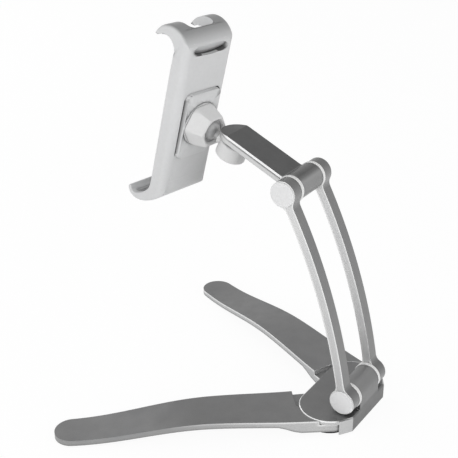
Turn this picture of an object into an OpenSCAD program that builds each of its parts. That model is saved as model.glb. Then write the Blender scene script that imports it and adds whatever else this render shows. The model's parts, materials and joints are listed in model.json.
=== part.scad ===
// Desktop tablet stand: two folding legs, a base, two bowed arms, an upper link,
// a swivel with a ball joint, and a sprung clip that holds a tablet by two edges.
// Sizes are in millimetres. X runs along the hinges, Y points to the back and Z up.
// The origin is on the table, below the middle of the lower hinge.

/* [Base] */
// Distance between the two leg pivots
pivot_spacing = 42.4; // [40:0.2:48]
// How far the leg pivots lie in front of the lower hinge
pivot_forward = 13.5; // [13:0.5:16]
// How far the base plate reaches past the round roots of the legs
plate_lap = 1.7; // [1.2:0.1:2.6]
// Width of the straight rear edge of the base
rear_width = 52.4; // [48:0.4:58]
// Height of the flat top of the base above the table
base_height = 13.2; // [12.4:0.2:16]
// Thickness of the base plate over the legs
plate_thickness = 3; // [2.4:0.2:3.6]
// Height of the underside of the base and the leg tips above the table
foot_clearance = 0.8; // [0.5:0.1:1.2]
// Height of the underside of the leg roots above the table
root_clearance = 3.2; // [2.4:0.1:3.4]
// Depth of the pockets that hold the rubber feet
pad_pocket = 0.4; // [0.2:0.1:0.6]
// Width of the bright chamfer around the base plate
plate_chamfer = 0.8; // [0.4:0.1:1.2]

/* [Hinges] */
// Radius of the arm heads and of the hinge barrels
head_radius = 10; // [9:0.5:12]
// Distance between the inner faces of the two arms
arm_gap = 34.2; // [32:0.2:40]
// Thickness of the white flange between a barrel and an arm
flange_thickness = 1.8; // [1:0.1:2.2]
// Radius of the hinge shafts
shaft_radius = 4; // [3.4:0.1:4.6]
// Wall of the hinge bushes
bush_wall = 1.2; // [0.8:0.1:1.6]
// Length of a hinge bush inside its barrel
bush_length = 9; // [6:0.5:12]
// Depth of the flat that keys a shaft to its arms
key_depth = 0.8; // [0.4:0.1:1.2]

/* [Arms] */
// Distance between the lower and the upper hinge
arm_length = 164.6; // [150:0.2:190]
// Lean of the arms towards the user, in degrees from upright
arm_lean = 19.5; // [10:0.5:30]
// How far the arms bow backwards at their middle
arm_bow = 7.6; // [4:0.2:12]
// Width of an arm seen from the side
bar_width = 6.8; // [6:0.2:9]
// Thickness of an arm along the hinges
arm_thickness = 9.8; // [9:0.1:12]
// Radius of the fillets where an arm meets its heads
neck_fillet = 7; // [4:0.5:10]
// Radius of the round end caps
cap_radius = 9.5; // [8.6:0.1:9.9]
// How far an end cap stands out from its arm
cap_height = 1.4; // [1:0.1:2]

/* [Legs] */
// Distance from a leg pivot to the middle of the round tip
leg_length = 192.5; // [170:0.5:210]
// Radius of the round tip of a leg
tip_radius = 13.5; // [11:0.5:16]
// Height of the top of a leg tip above the table
tip_height = 5.2; // [4.8:0.1:6.5]
// Height of the highest point of a leg above the table
crown_height = 15.1; // [14:0.1:18]
// Distance from the pivot to the highest point of a leg
crown_place = 90; // [75:1:105]
// Thickness of a leg at its highest point
leg_thickness = 4.8; // [4.4:0.1:6]
// Length of the thick part of a leg root in front of the pivot
boss_reach = 23; // [22.5:0.5:28]
// Length over which a leg thins behind its thick root
boss_run = 20; // [18:1:32]
// Angle of the user's right leg from straight forward, in degrees
right_splay = 39.6; // [0:0.1:50]
// Angle of the user's left leg from straight forward, in degrees
left_splay = 22.3; // [0:0.1:50]
// Radius of the posts that the legs turn on
post_radius = 6; // [5:0.2:7]
// Thickness of the steel washer that holds a leg on its post
retainer_thickness = 1; // [0.8:0.1:1.2]
// Radius of the screw in a leg pivot
pivot_screw_radius = 2.5; // [2:0.1:3]

/* [Upper link] */
// Distance from the upper hinge to the swivel
link_reach = 59.4; // [52:0.2:75]
// Width of the link plate
link_width = 27.4; // [25:0.2:30]
// Thickness of the link plate
link_thickness = 6.2; // [5.4:0.2:8]
// Rise of the link towards the user, in degrees
link_rise = 24.1; // [0:0.1:40]
// Length of the sloping top at the tip of the link
tip_slope_length = 11; // [8:0.5:14]
// Thickness of the link at the very end of its tip
tip_edge = 2.2; // [1.6:0.1:3.2]
// Radius of the fillets between the link plate and its barrel
link_fillet = 3; // [2:0.5:5]

/* [Swivel] */
// Radius of the swivel drum
drum_radius = 11.7; // [11:0.1:13]
// Height of the swivel drum
drum_height = 13.1; // [12.6:0.1:16]
// Thickness of the friction washer between the link and the drum
neck_height = 2.4; // [1.6:0.1:3]
// Radius of that friction washer
neck_radius = 8; // [6:0.2:10]
// Radius of the stud that the drum turns on
stud_radius = 3; // [2.5:0.1:3.4]
// Distance from the swivel axis to the centre of the ball
stem_reach = 24.4; // [23.8:0.2:28]
// Depth of the ball stem below the top of the drum
stem_drop = 5; // [4.6:0.1:6]
// Radius of the stem that carries the ball
stem_radius = 3.5; // [3:0.1:3.6]
// Radius of the white collar round the stem
collar_radius = 4.5; // [4.2:0.1:4.6]

/* [Ball joint] */
// Radius of the ball
ball_radius = 8.5; // [8.2:0.1:8.8]
// Thickness of the nylon liner around the ball
liner_thickness = 0.95; // [0.8:0.05:1.1]
// Radius of the round socket base that shows as a ring around the nut
socket_base_radius = 17.2; // [16.4:0.1:17.4]
// How far the socket base stands out from the mount plate
socket_base_proud = 0.8; // [0.5:0.1:1.2]
// Radius of the threaded part of the socket
thread_radius = 10.9; // [10.8:0.1:11]
// Height of the lock nut above the mount plate
nut_height = 15.8; // [15.4:0.1:17]
// Radius over the rounded corners of the lock nut
nut_radius = 16.6; // [16.3:0.1:17]
// How much narrower the lock nut is at its mouth than at its foot
nut_taper = 2.7; // [2.2:0.1:2.8]
// Turn of the clip to the side, in degrees
clip_yaw = -8.3; // [-20:0.1:20]
// Tilt of the clip, in degrees; a negative value leans its top backwards
clip_tilt = -12.9; // [-20:0.1:0]
// Turn of the clip about the axis of the ball joint's mouth, in degrees
clip_roll = -1.9; // [-10:0.1:10]

/* [Clip] */
// Width of the clip
clip_width = 51; // [48:0.5:56]
// Depth of the clip body from its back to its front
clip_depth = 14; // [13.4:0.1:16]
// Wall of the moulded shells
shell_wall = 2.2; // [1.8:0.1:2.6]
// Radius of the long rounded edges at the back of the clip
edge_radius = 7; // [5:0.5:8]
// How far the mount plate stands out from the back of the clip
plate_proud = 2.5; // [2.5:0.1:3]
// Width of the mount plate
plate_width = 37; // [36.8:0.1:38]
// Height of the top edge of the mount plate above the ball
plate_top = 26; // [24:0.5:30]
// Depth of the bottom edge of the mount plate below the ball
plate_bottom = 27.5; // [24:0.5:30]
// Width of the groove around the mount plate
seam_width = 1; // [0.6:0.1:1.2]
// Width of the fine seam between the closed jaws
fine_seam = 0.15; // [0.1:0.05:0.3]
// Depth of the parting line of the jaws below the ball
parting_depth = 48; // [44:0.5:52]
// Height of the centre of the upper curl above the ball
curl_centre = 56.5; // [56:0.5:66]
// Outer radius of the upper curl
curl_radius = 18; // [17:0.5:19]
// Radius of the tablet space inside the upper curl
hook_radius = 10.5; // [9.5:0.5:11]
// Width of the notch between the two hooks
notch_width = 26; // [20:1:30]
// Depth of the lowest point of the lower jaw below the ball
jaw_depth = 75.3; // [72:0.1:80]
// Outer radius of the curl at the front of the lower jaw
jaw_radius = 9.8; // [8.5:0.1:11]
// How far that curl's centre stands in front of the clip body
jaw_reach = 12.9; // [11:0.1:15]
// Thickness of the lower jaw
jaw_thickness = 3.6; // [3:0.1:4]
// Depth of the rounded heel of the lower jaw below the ball
heel_depth = 53; // [52:0.5:56]
// Thickness of the rubber pads inside the clip
grip_thickness = 1; // [0.6:0.1:1.4]
// Radius of the two springs that pull the jaws together
spring_radius = 3; // [2.4:0.1:3.2]

/* [Clearances] */
// Radial clearance of shafts, posts and the ball
run_gap = 0.05; // [0.02:0.01:0.1]
// Clearance of pieces that are fixed in each other
seat_gap = 0.02; // [0.01:0.01:0.05]
// Clearance between pieces that turn or slide past each other
slide_gap = 0.3; // [0.25:0.05:0.5]

/* [Hidden] */
$fn = 64;

big = 300;
tiny = 0.01;

pivot_x = pivot_spacing / 2;
root_radius = pivot_x - slide_gap - 0.1;
corner_radius = root_radius + plate_lap;
plate_bottom_z = base_height - plate_thickness;
barrel_width = arm_gap - 2 * flange_thickness;
hinge_z = base_height + head_radius + 0.2;
bush_radius = shaft_radius + run_gap + bush_wall;
shaft_end = arm_gap / 2 + 6.2;
hinge_screw_radius = 1.9;
hinge_well_radius = 6.2;

tongue_top = plate_bottom_z - 0.4;
step_radius = corner_radius + 0.5;
well_radius = 9.8;
well_top = plate_bottom_z - 4.8;
post_end = well_top - 0.8;
pad_inner_radius = well_radius + 0.6;
pad_outer_radius = root_radius - 2.3;

upper_y = -arm_length * sin(arm_lean);
upper_z = hinge_z + arm_length * cos(arm_lean);
bow_radius = (arm_length * arm_length / 4 + arm_bow * arm_bow) / (2 * arm_bow);

tip_half = link_width / 2;
drum_top = -link_thickness / 2 - neck_height;
stem_level = drum_top - stem_drop;
stud_seat = drum_top - 6.2;
cavity_radius = 6.4;
cap_plate = 1.2;

liner_radius = ball_radius + run_gap + liner_thickness;
cavity_ball_radius = liner_radius + run_gap;
ball_lift = cavity_ball_radius + tiny;
mouth_level = 3.6;
hub_radius = 8;

shell_back = -ball_lift - plate_proud;
shell_front = shell_back - clip_depth;
half_width = clip_width / 2;
box_half = half_width - shell_wall - slide_gap;
box_back = shell_back - shell_wall - slide_gap;
box_wall = 1.8;
cover_half = box_half - 3.8;
cover_back = shell_front + shell_wall + slide_gap;
hollow_back = box_back - box_wall;
hollow_front = cover_back;
hollow_half = box_half - box_wall;
cover_screw_radius = 0.9;
cover_screw_head = 1.7;
cover_screw_place = 9;
cover_screw_length = shell_wall + slide_gap + box_wall + 0.4;
curl_low = curl_centre - 8;
box_top = curl_low - 5;
curl_y = shell_back - curl_radius;
hook_y = curl_y - 5.3;
hook_z = curl_centre - 0.8;
hook_tip = curl_centre + 6.5;
jaw_y = shell_front - jaw_reach;
jaw_z = jaw_radius - jaw_depth;
heel_radius = 13;
trough_radius = jaw_radius - jaw_thickness;
lip_radius = jaw_thickness / 2;
lip_turn = 14;
jaw_corner = 3;
spring_x = hollow_half - spring_radius - 0.1;
spring_y = (hollow_back + hollow_front) / 2;
spring_low = -parting_depth + 8;
spring_high = box_top + 1.9;
anchor_radius = 1.4;
hook_centre_x = (half_width + notch_width / 2) / 2;

// Turns a length share from 0 to 1 into a soft ramp without kinks
function ease(t) = (1 - cos(180 * max(0, min(1, t)))) / 2;

// Height of a leg's upper face at a distance from its pivot
function leg_top(s) = s < crown_place
    ? base_height + (crown_height - base_height) * ease((s - step_radius) / (crown_place - step_radius))
    : tip_height + (crown_height - tip_height) * ease((leg_length - s) / (leg_length - crown_place));

// Thickness of a leg at a distance from its pivot
function leg_depth(s) = leg_thickness
    + (tip_height - foot_clearance - leg_thickness) * ease((s - crown_place) / (leg_length - crown_place));

// Height of a leg's underside at a distance from its pivot
function leg_low(s) = root_clearance
    + (leg_top(s) - leg_depth(s) - root_clearance) * ease((s - boss_reach) / boss_run);

module turned_x(x) {
    // Turns a shape drawn along Z so that it runs along X from the given place
    translate([x, 0, 0])
        rotate([0, 90, 0])
            children();
}

module at_lower_hinge() {
    translate([0, 0, hinge_z])
        children();
}

module at_upper_hinge() {
    translate([0, upper_y, upper_z])
        children();
}

module at_link() {
    // Link frame: the plate runs along -Y from the hinge and Z is its upper side
    at_upper_hinge()
        rotate([-link_rise, 0, 0])
            children();
}

module at_swivel() {
    at_link()
        translate([0, -link_reach, 0])
            children();
}

module at_ball() {
    // Ball frame: X along the clip's width, Y out of its back, Z up along it
    at_swivel()
        translate([0, -stem_reach, stem_level])
            rotate([link_rise, 0, 0])
                rotate([0, 0, clip_yaw])
                    rotate([clip_tilt, clip_roll, 0])
                        children();
}

module on_back(y) {
    // Turns a shape drawn along Z so that it rises out of the back of the clip
    translate([0, y, 0])
        rotate([-90, 0, 0])
            children();
}

module both_sides() {
    children();
    mirror([1, 0, 0])
        children();
}

// Points of a circular arc between two angles measured from the X axis
function arc(radius, from, to, steps) =
    [for (i = [0:steps]) let (a = from + (to - from) * i / steps) [radius * cos(a), radius * sin(a)]];

module ring(outer, inner, height) {
    difference() {
        cylinder(r = outer, h = height);
        translate([0, 0, -tiny])
            cylinder(r = inner, h = height + 2 * tiny);
    }
}

module rounded_bar(width, depth, radius) {
    // A rectangle with four rounded corners
    hull()
        for (x = [-1, 1], y = [-1, 1])
            translate([x * (width / 2 - radius), y * (depth / 2 - radius)])
                circle(r = radius, $fn = 32);
}

// Base

module base_outline(inset) {
    hull() {
        for (side = [-1, 1])
            translate([side * pivot_x, -pivot_forward])
                circle(r = corner_radius - inset, $fn = 96);
        translate([-rear_width / 2 + inset, head_radius - 1 - inset])
            square([rear_width - 2 * inset, 1]);
    }
}

module base_plate() {
    hull() {
        translate([0, 0, plate_bottom_z])
            linear_extrude(height = plate_thickness - plate_chamfer)
                base_outline(0);
        translate([0, 0, base_height - tiny])
            linear_extrude(height = tiny)
                base_outline(plate_chamfer);
    }
}

module root_room(radius) {
    // The round space that a leg root turns in
    both_sides()
        translate([pivot_x, -pivot_forward])
            circle(r = radius, $fn = 96);
}

module rear_block() {
    difference() {
        translate([0, 0, foot_clearance])
            linear_extrude(height = plate_bottom_z - foot_clearance + 1)
                difference() {
                    base_outline(0);
                    root_room(root_radius + 0.5);
                    both_sides()
                        translate([pivot_x, -big])
                            square([big, big + 3.5]);
                    translate([-pivot_x, -big])
                        square([2 * pivot_x, big - pivot_forward]);
                }
        translate([0, 0, foot_clearance - tiny])
            linear_extrude(height = pad_pocket + tiny)
                pad_outline(seat_gap);
    }
}

module pad_outline(grow) {
    difference() {
        translate([-pivot_x / 2 - grow, -3 - grow])
            square([pivot_x + 2 * grow, head_radius + 1.6 + 2 * grow]);
        root_room(root_radius + 1.6 - grow);
    }
}

module hinge_barrel() {
    at_lower_hinge()
        turned_x(-barrel_width / 2)
            cylinder(r = head_radius, h = barrel_width, $fn = 96);
    translate([-barrel_width / 2, -head_radius * 0.8, base_height - 1])
        cube([barrel_width, head_radius * 1.8, head_radius + 1.2]);
}

module barrel_bore(width) {
    // The bore of a hinge barrel, wider at both ends for the bushes
    turned_x(-width / 2 - 1)
        cylinder(r = shaft_radius + 0.6, h = width + 2);
    both_sides()
        turned_x(width / 2 - bush_length - 0.3)
            cylinder(r = bush_radius + seat_gap, h = bush_length + 2);
}

module leg_post() {
    difference() {
        translate([0, 0, post_end])
            cylinder(r = post_radius, h = plate_bottom_z - post_end + 1);
        translate([0, 0, post_end - tiny])
            cylinder(r = pivot_screw_radius + seat_gap, h = 7, $fn = 32);
    }
}

module base_block() {
    color([0.45, 0.46, 0.48])
        difference() {
            union() {
                difference() {
                    union() {
                        base_plate();
                        rear_block();
                    }
                    both_sides()
                        translate([pivot_x, -pivot_forward, post_end])
                            cylinder(r = pivot_screw_radius + seat_gap, h = 7, $fn = 32);
                }
                hinge_barrel();
                both_sides()
                    translate([pivot_x, -pivot_forward, 0])
                        leg_post();
            }
            at_lower_hinge()
                barrel_bore(barrel_width);
        }
}

module base_pad() {
    color([0.12, 0.12, 0.13])
        linear_extrude(height = foot_clearance + pad_pocket)
            pad_outline(0);
}

module slip_washers() {
    color([0.9, 0.9, 0.88])
        both_sides()
            translate([pivot_x, -pivot_forward, tongue_top + 0.05])
                ring(root_radius - 5, post_radius + run_gap, 0.3);
}

module pivot_washers() {
    color([0.7, 0.7, 0.72])
        both_sides()
            translate([pivot_x, -pivot_forward, post_end - retainer_thickness])
                ring(well_radius - 0.4, pivot_screw_radius + 0.1, retainer_thickness);
}

module pivot_screws() {
    color([0.25, 0.25, 0.27])
        both_sides()
            translate([pivot_x, -pivot_forward, post_end - retainer_thickness])
                difference() {
                    union() {
                        cylinder(r = pivot_screw_radius, h = retainer_thickness + 6, $fn = 32);
                        translate([0, 0, -1.4])
                            cylinder(r = pivot_screw_radius + 1.9, h = 1.4, $fn = 32);
                    }
                    translate([0, 0, -1.4 - tiny])
                        cylinder(r = 1.6, h = 1, $fn = 6);
                }
}

module hinge_bush() {
    turned_x(barrel_width / 2)
        ring(head_radius, shaft_radius + run_gap, flange_thickness - 0.1);
    turned_x(barrel_width / 2 - bush_length)
        ring(bush_radius, shaft_radius + run_gap, bush_length + 0.2);
}

module lower_hinge_bushes() {
    color([0.95, 0.95, 0.94])
        at_lower_hinge()
            both_sides()
                hinge_bush();
}

// Legs

module leg_plan(radius) {
    hull() {
        circle(r = radius, $fn = 96);
        translate([leg_length, 0])
            circle(r = tip_radius, $fn = 64);
    }
}

module leg_side() {
    // Side view of the arched leg: distance from the pivot, then height
    first = -root_radius - 1;
    last = leg_length + tip_radius + 1;
    count = 40;
    upper = [for (i = [0:count]) let (s = first + (last - first) * i / count) [s, leg_top(s)]];
    lower = [for (i = [count:-1:0]) let (s = first + (last - first) * i / count) [s, leg_low(s)]];
    polygon(concat(upper, lower));
}

module leg_step() {
    // Room for the base plate: round outside, straight inside so that the legs fold together
    translate([0, 0, tongue_top])
        cylinder(r = step_radius, h = big, $fn = 96);
    translate([-big, -big, tongue_top])
        cube([big + step_radius + 2, big, big]);
}

module leg() {
    difference() {
        intersection() {
            linear_extrude(height = crown_height + 1)
                leg_plan(root_radius);
            rotate([90, 0, 0])
                linear_extrude(height = 4 * root_radius, center = true)
                    leg_side();
        }
        leg_step();
        cylinder(r = post_radius + run_gap, h = big);
        translate([0, 0, -1])
            cylinder(r = well_radius, h = well_top + 1);
        translate([0, 0, root_clearance - tiny])
            ring(pad_outer_radius + seat_gap, pad_inner_radius - seat_gap, pad_pocket + tiny);
        translate([leg_length, 0, 0])
            cylinder(r = tip_radius - 3.5 + seat_gap, h = foot_clearance + pad_pocket);
    }
}

module right_side() {
    translate([pivot_x, -pivot_forward, 0])
        rotate([0, 0, right_splay - 90])
            children();
}

module left_side() {
    mirror([1, 0, 0])
        translate([pivot_x, -pivot_forward, 0])
            rotate([0, 0, left_splay - 90])
                children();
}

module root_pad() {
    ring(pad_outer_radius, pad_inner_radius, root_clearance + pad_pocket);
}

module tip_pad() {
    translate([leg_length, 0, 0])
        cylinder(r = tip_radius - 3.5, h = foot_clearance + pad_pocket);
}

module wave_washer() {
    translate([0, 0, post_end + 0.05])
        ring(well_radius - 0.8, post_radius + run_gap + 0.2, 0.7);
}

module right_leg() {
    color([0.5, 0.51, 0.53])
        right_side()
            leg();
}

module right_leg_root_pad() {
    color([0.12, 0.12, 0.13])
        right_side()
            root_pad();
}

module right_leg_tip_pad() {
    color([0.12, 0.12, 0.13])
        right_side()
            tip_pad();
}

module right_wave_washer() {
    color([0.7, 0.7, 0.72])
        right_side()
            wave_washer();
}

module left_leg() {
    color([0.5, 0.51, 0.53])
        left_side()
            leg();
}

module left_leg_root_pad() {
    color([0.12, 0.12, 0.13])
        left_side()
            root_pad();
}

module left_leg_tip_pad() {
    color([0.12, 0.12, 0.13])
        left_side()
            tip_pad();
}

module left_wave_washer() {
    color([0.7, 0.7, 0.72])
        left_side()
            wave_washer();
}

// Arms

module arm_outline() {
    // Seen from the side: two round heads joined by a bowed bar with filleted necks
    offset(r = -neck_fillet)
        offset(r = neck_fillet) {
            circle(r = head_radius, $fn = 96);
            translate([0, arm_length])
                circle(r = head_radius, $fn = 96);
            intersection() {
                translate([arm_bow - bow_radius, arm_length / 2])
                    difference() {
                        circle(r = bow_radius + bar_width / 2, $fn = 480);
                        circle(r = bow_radius - bar_width / 2, $fn = 480);
                    }
                translate([-big / 2, 0])
                    square([big, arm_length]);
            }
        }
}

module keyed_shaft(radius, length) {
    // A round bar with one flat
    intersection() {
        cylinder(r = radius, h = length);
        translate([-radius, -radius, 0])
            cube([2 * radius, 2 * radius - key_depth, length]);
    }
}

module head_holes() {
    turned_x(arm_gap / 2 - tiny)
        keyed_shaft(shaft_radius + seat_gap, arm_thickness);
    turned_x(shaft_end + 0.1)
        cylinder(r = hinge_well_radius, h = arm_thickness);
}

module arm() {
    difference() {
        rotate([arm_lean, 0, 0])
            translate([arm_gap / 2, 0, 0])
                rotate([90, 0, 90])
                    linear_extrude(height = arm_thickness)
                        arm_outline();
        head_holes();
        translate([0, upper_y, upper_z - hinge_z])
            head_holes();
    }
}

module right_arm() {
    color([0.74, 0.75, 0.76])
        at_lower_hinge()
            arm();
}

module left_arm() {
    color([0.74, 0.75, 0.76])
        at_lower_hinge()
            mirror([1, 0, 0])
                arm();
}

module hinge_shaft() {
    difference() {
        union() {
            turned_x(-arm_gap / 2)
                cylinder(r = shaft_radius, h = arm_gap);
            turned_x(-shaft_end)
                keyed_shaft(shaft_radius, 2 * shaft_end);
        }
        both_sides()
            turned_x(shaft_end - 9)
                cylinder(r = hinge_screw_radius + seat_gap, h = 10, $fn = 32);
    }
}

module lower_hinge_shaft() {
    color([0.6, 0.6, 0.62])
        at_lower_hinge()
            hinge_shaft();
}

module upper_hinge_shaft() {
    color([0.6, 0.6, 0.62])
        at_upper_hinge()
            hinge_shaft();
}

module at_each_head() {
    at_lower_hinge()
        both_sides()
            children();
    at_upper_hinge()
        both_sides()
            children();
}

module hinge_spring_washers() {
    color([0.66, 0.66, 0.68])
        at_each_head()
            turned_x(shaft_end + 0.12)
                ring(hinge_well_radius - 0.5, hinge_screw_radius + 0.1, 0.8);
}

module hinge_screws() {
    color([0.25, 0.25, 0.27])
        at_each_head()
            difference() {
                union() {
                    turned_x(shaft_end - 8)
                        cylinder(r = hinge_screw_radius, h = 9, $fn = 32);
                    turned_x(shaft_end + 0.94)
                        cylinder(r = hinge_screw_radius + 2.2, h = 1.6, $fn = 32);
                }
                turned_x(shaft_end + 1.4)
                    cylinder(r = 1.6, h = 2, $fn = 6);
            }
}

module arm_cap() {
    edge = 0.5;
    rotate_extrude()
        polygon([
            [0, 0], [hinge_well_radius - seat_gap, 0], [hinge_well_radius - seat_gap, 0.7],
            [cap_radius, 0.7], [cap_radius, 0.7 + cap_height - edge],
            [cap_radius - edge, 0.7 + cap_height * 0.9], [cap_radius * 0.6, 0.7 + cap_height],
            [0, 0.7 + cap_height]
        ]);
}

module arm_caps() {
    color([0.93, 0.93, 0.92])
        at_each_head()
            turned_x(arm_gap / 2 + arm_thickness - 0.69)
                arm_cap();
}

// Upper link

module link_side() {
    // Seen from the side: the barrel, the plate and the sloping top of its tip
    far = link_reach + tip_half;
    half = link_thickness / 2;
    offset(r = -link_fillet)
        offset(r = link_fillet) {
            circle(r = head_radius, $fn = 96);
            polygon([
                [0, -half], [0, half], [-far + tip_slope_length, half],
                [-far, tip_edge - half], [-far, -half]
            ]);
        }
}

module link_plan() {
    translate([-tip_half, -link_reach])
        square([link_width, link_reach + head_radius]);
    translate([0, -link_reach])
        circle(r = tip_half, $fn = 96);
}

module upper_link() {
    groove = 0.4;
    color([0.33, 0.34, 0.36])
        at_link()
            difference() {
                union() {
                    intersection() {
                        rotate([90, 0, 90])
                            translate([0, 0, -tip_half])
                                linear_extrude(height = link_width)
                                    link_side();
                        translate([0, 0, -head_radius])
                            linear_extrude(height = 2 * head_radius)
                                link_plan();
                    }
                    turned_x(-barrel_width / 2)
                        cylinder(r = head_radius, h = barrel_width, $fn = 96);
                }
                barrel_bore(barrel_width);
                translate([0, -link_reach, -link_thickness / 2 - tiny])
                    cylinder(r = stud_radius + seat_gap, h = link_thickness * 0.7);
                both_sides()
                    translate([tip_half - groove, -link_reach, 0.6])
                        cube([1, link_reach - head_radius, groove]);
            }
}

module upper_hinge_bushes() {
    color([0.95, 0.95, 0.94])
        at_upper_hinge()
            both_sides()
                hinge_bush();
}

// Swivel

module swivel_stud() {
    color([0.6, 0.6, 0.62])
        at_swivel()
            translate([0, 0, stud_seat - 4.6])
                cylinder(r = stud_radius, h = -stud_seat + 4.6 - link_thickness / 2 + link_thickness * 0.65);
}

module friction_washer() {
    color([0.1, 0.1, 0.11])
        at_swivel()
            translate([0, 0, drum_top + 0.05])
                ring(neck_radius, stud_radius + seat_gap, neck_height - 0.06);
}

module swivel_spring_washer() {
    color([0.66, 0.66, 0.68])
        at_swivel()
            translate([0, 0, stud_seat - 1])
                ring(cavity_radius - 0.8, stud_radius + seat_gap, 0.95);
}

module swivel_nut() {
    color([0.66, 0.66, 0.68])
        at_swivel()
            translate([0, 0, stud_seat - 4])
                difference() {
                    cylinder(r = cavity_radius - 0.6, h = 2.95, $fn = 6);
                    translate([0, 0, -tiny])
                        cylinder(r = stud_radius + seat_gap, h = 4, $fn = 32);
                }
}

module swivel_drum() {
    edge = 0.8;
    bottom = drum_top - drum_height;
    color([0.93, 0.93, 0.92])
        at_swivel()
            difference() {
                union() {
                    rotate_extrude($fn = 96)
                        polygon([
                            [0, bottom], [drum_radius - edge, bottom], [drum_radius, bottom + edge],
                            [drum_radius, drum_top - edge], [drum_radius - edge, drum_top], [0, drum_top]
                        ]);
                    translate([0, 0, stem_level])
                        rotate([90, 0, 0])
                            cylinder(r = collar_radius, h = drum_radius + 1.6);
                }
                translate([0, 0, bottom - 1])
                    cylinder(r = stud_radius + run_gap, h = drum_height + 2);
                translate([0, 0, bottom - 1])
                    cylinder(r = cavity_radius, h = stud_seat - bottom + 1);
                translate([0, 0, bottom - 1])
                    cylinder(r = cavity_radius + 2.6, h = cap_plate + 1);
                translate([0, -cavity_radius - 0.6, stem_level])
                    rotate([90, 0, 0])
                        cylinder(r = stem_radius + seat_gap, h = drum_radius);
            }
}

module drum_cap() {
    color([0.93, 0.93, 0.92])
        at_swivel()
            translate([0, 0, drum_top - drum_height])
                cylinder(r = cavity_radius + 2.6 - seat_gap, h = cap_plate - 0.02);
}

module ball_stem() {
    color([0.55, 0.55, 0.56])
        at_swivel()
            translate([0, 0, stem_level]) {
                translate([0, -stem_reach, 0])
                    sphere(r = ball_radius);
                translate([0, -cavity_radius - 0.7, 0])
                    rotate([90, 0, 0])
                        cylinder(r = stem_radius, h = stem_reach - cavity_radius - 0.7);
            }
}

// Ball joint

module ball_liner() {
    color([0.2, 0.2, 0.21])
        at_ball()
            on_back(0)
                rotate_extrude($fn = 96)
                    polygon(concat(
                        arc(liner_radius, -90, asin(mouth_level / liner_radius), 18),
                        arc((ball_radius + run_gap) / cos(4), asin(mouth_level / (ball_radius + run_gap)), -90, 18)
                    ));
}

module ball_socket() {
    slot = 2.4;
    color([0.3, 0.3, 0.31])
        at_ball()
            difference() {
                union() {
                    on_back(-ball_lift - plate_proud + 0.1)
                        cylinder(r = socket_base_radius, h = plate_proud - 0.1 + socket_base_proud, $fn = 96);
                    on_back(-ball_lift)
                        cylinder(r = thread_radius, h = ball_lift + mouth_level);
                    on_back(hollow_back - 0.1)
                        cylinder(r = hub_radius, h = 6);
                }
                on_back(0)
                    rotate_extrude($fn = 96)
                        polygon(concat(
                            arc(cavity_ball_radius / cos(4), -90, 30, 18),
                            [[cavity_ball_radius, mouth_level + 1], [0, mouth_level + 1]]
                        ));
                translate([-slot / 2, 0, -big / 2])
                    cube([slot, mouth_level + 1, big]);
                on_back(hollow_back - 1)
                    cylinder(r = 2 + seat_gap, h = 6, $fn = 32);
            }
}

module socket_washer() {
    color([0.66, 0.66, 0.68])
        at_ball()
            on_back(hollow_back - 1.15)
                ring(hub_radius + 3, 2.1, 1);
}

module socket_screw() {
    color([0.25, 0.25, 0.27])
        at_ball()
            difference() {
                union() {
                    on_back(hollow_back - 1.15)
                        cylinder(r = 2, h = 5, $fn = 32);
                    on_back(hollow_back - 3.15)
                        cylinder(r = 3.8, h = 2, $fn = 32);
                }
                on_back(hollow_back - 3.2)
                    cylinder(r = 1.4, h = 1.3, $fn = 6);
            }
}

module lock_nut() {
    low = -ball_lift + socket_base_proud + 0.2;
    high = nut_height - ball_lift;
    lip = mouth_level + 0.4;
    front_radius = nut_radius - nut_taper;
    color([0.93, 0.93, 0.92])
        at_ball()
            on_back(0)
                difference() {
                    intersection() {
                        translate([0, 0, low])
                            rotate([0, 0, -57])
                                cylinder(r1 = nut_radius, r2 = front_radius, h = high - low, $fn = 6);
                        rotate_extrude($fn = 96)
                            polygon([
                                [0, low], [nut_radius - 1.6, low], [nut_radius - 0.8, low + 0.8],
                                [front_radius - 0.3, high - 0.8], [front_radius - 0.9, high], [0, high]
                            ]);
                    }
                    translate([0, 0, low - 1])
                        cylinder(r = thread_radius + run_gap, h = lip - low + 1);
                    translate([0, 0, lip - tiny])
                        cylinder(r1 = thread_radius - 1.9, r2 = front_radius * cos(30) - 0.8, h = high - lip + 2 * tiny);
                }
}

// Clip

module shell_section(half, back, front, radius) {
    // Cross-section of the clip with rounded long edges at its back
    hull() {
        for (side = [-1, 1])
            translate([side * (half - radius), back - radius])
                circle(r = radius, $fn = 48);
        for (side = [-1, 1])
            translate([side * (half - 1), front + 1])
                circle(r = 1, $fn = 24);
    }
}

module across(width) {
    // Draws a side view, back to the right, across the clip's width
    rotate([90, 0, 90])
        translate([0, 0, -width / 2])
            linear_extrude(height = width)
                children();
}

module hook_room() {
    // Side view of the room under the hook, which runs out into the front face below it
    hull() {
        translate([hook_y, hook_z])
            circle(r = hook_radius, $fn = 96);
        translate([shell_front - 1, curl_low - 14])
            square(1);
    }
}

module curl_side() {
    // Upper jaw seen from the side: the rounded crest and the hook over the tablet
    difference() {
        union() {
            intersection() {
                translate([curl_y, curl_centre])
                    circle(r = curl_radius, $fn = 128);
                translate([curl_y - big, curl_low])
                    square([2 * big, big]);
            }
            translate([shell_front, curl_low])
                square([clip_depth, curl_centre - curl_low]);
        }
        hook_room();
        translate([hook_y - hook_radius, hook_z - big])
            square([shell_front - hook_y + hook_radius, big]);
        translate([-big + hook_y, hook_tip - big])
            square([big, big]);
    }
}

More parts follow.
